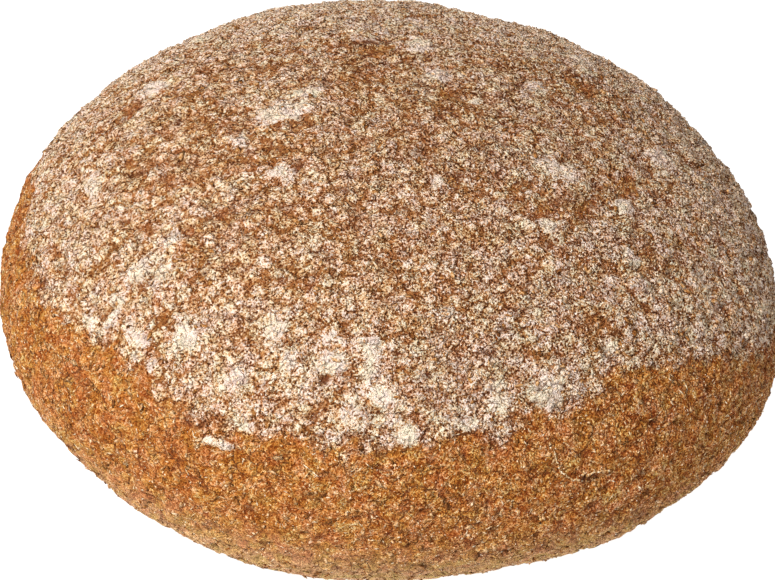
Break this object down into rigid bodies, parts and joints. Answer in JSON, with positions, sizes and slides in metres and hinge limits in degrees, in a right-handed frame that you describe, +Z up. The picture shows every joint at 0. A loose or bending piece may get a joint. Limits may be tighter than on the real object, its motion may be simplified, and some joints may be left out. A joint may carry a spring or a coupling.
{
  "type": "round barley sourdough loaf",
  "caption": "Whole round free-standing sourdough loaf with a broad dome, swollen sides, a soft heel and a flat base.",
  "frame": {"origin": "on the surface the loaf stands on, under the middle of its box", "axes": "+Z up through the dome, +X along the widest way across, the fuller side of the base towards -Y"},
  "size_m": [0.223, 0.2176, 0.0974],
  "materials": {
    "crust": null
  },
  "bodies": {
    "root": {"loaf": "crust"}
  },
  "joints": []
}
